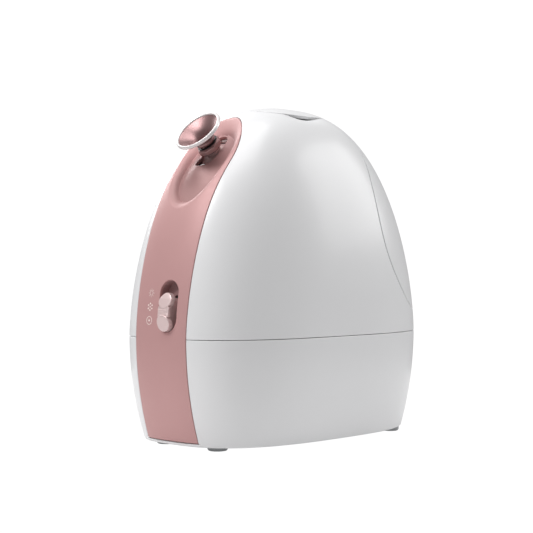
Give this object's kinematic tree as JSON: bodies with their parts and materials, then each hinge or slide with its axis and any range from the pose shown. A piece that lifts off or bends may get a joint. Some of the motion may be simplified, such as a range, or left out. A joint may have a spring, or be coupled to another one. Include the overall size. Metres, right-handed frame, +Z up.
{
  "type": "facial steamer",
  "caption": "Domed tabletop facial steamer with a rose front strip, tilting dish nozzle in an oval recess, mode slider and lift-off rear water tank behind an S-shaped seam.",
  "frame": {"origin": "on the standing surface, under the middle of the bounding box", "axes": "+Z up, -Y towards the rose front strip and the nozzle, +X the steamer's left side seen from the front"},
  "size_m": [0.14, 0.2372, 0.24],
  "materials": {
    "white_shell": "semi-gloss white moulding",
    "rose_panel": "satin rose paint",
    "rose_metal": "polished rose plating",
    "pale_rose": "satin pale rose",
    "bright_rim": "mirror bright",
    "slider_rose": "satin rose",
    "pocket_rose": "matt",
    "print_pale": "pad print",
    "white_inner": "matt",
    "foot_rubber": "matt",
    "seal_rubber": "matt",
    "steel": "bright",
    "boiler_metal": "cast",
    "heater_ceramic": "fired",
    "black_plastic": "matt",
    "board_green": "solder mask",
    "hose_silicone": "translucent silicone",
    "lead_red": "wire insulation",
    "tank_clear": "clear moulded plastic",
    "cap_blue": "moulded"
  },
  "bodies": {
    "housing": {"upper_housing": "white_shell", "base_housing": "white_shell", "front_panel": "rose_panel", "base_plate": "white_inner", "feet": "foot_rubber", "base_screws": "steel", "mode_icons": "print_pale", "switch_bezel": "pocket_rose", "switch_board": "board_green", "mid_deck": "white_inner", "tank_seat": "white_inner", "seat_gasket": "seal_rubber", "bay_wall": "white_inner", "bay_deck": "white_inner", "boiler": "boiler_metal", "boiler_lid": "white_inner", "heater_plate": "heater_ceramic", "thermostat": "black_plastic", "mist_chamber": "white_inner", "ultrasonic_disc": "steel", "steam_hose": "hose_silicone", "mist_hose": "hose_silicone", "feed_hose": "hose_silicone", "turret_bracket": "white_inner", "fan_frame": "black_plastic", "main_board": "board_green", "power_module": "board_green", "power_inlet": "black_plastic", "inlet_pins": "steel", "inner_lead": "lead_red"},
    "tank": {"tank_cover": "white_shell", "water_tank": "tank_clear"},
    "cap": {"tank_cap": "cap_blue", "cap_seal": "seal_rubber"},
    "valve": {"valve_plunger": "white_inner", "valve_spring": "steel"},
    "turret": {"nozzle_turret": "pale_rose", "nozzle_collar": "rose_metal"},
    "dish": {"nozzle_dish": "rose_metal", "dish_rim": "bright_rim"},
    "slider": {"mode_slider": "slider_rose", "slider_carriage": "white_inner"},
    "rotor": {"fan_rotor": "black_plastic"}
  },
  "joints": [
    {"name": "tank_lift", "type": "slide", "parent": "housing", "child": "tank", "axis": [0, 0, 1], "range_m": [0, 0.165]},
    {"name": "cap_turn", "type": "hinge", "parent": "tank", "child": "cap", "pos_m": [0, 0.078, 0.09], "axis": [0, 0, 1], "range_deg": [0, 60]},
    {"name": "valve_push", "type": "slide", "parent": "cap", "child": "valve", "axis": [0, 0, 1], "range_m": [0, 0.004], "stiffness_N_per_m": 120, "springref_m": -0.002, "deforming": ["valve_spring"]},
    {"name": "nozzle_tilt", "type": "hinge", "parent": "housing", "child": "turret", "pos_m": [0, -0.0509, 0.1926], "axis": [-1, 0, 0], "range_deg": [-12, 15]},
    {"name": "nozzle_swivel", "type": "hinge", "parent": "turret", "child": "dish", "pos_m": [0, -0.0509, 0.1926], "axis": [0, -0.7431, 0.6691], "continuous": true},
    {"name": "mode_slide", "type": "slide", "parent": "housing", "child": "slider", "axis": [0, 0.1229, 0.9924], "range_m": [0, 0.008]},
    {"name": "fan_spin", "type": "hinge", "parent": "housing", "child": "rotor", "pos_m": [0, -0.01, 0.012], "axis": [0, 0, 1], "continuous": true}
  ]
}
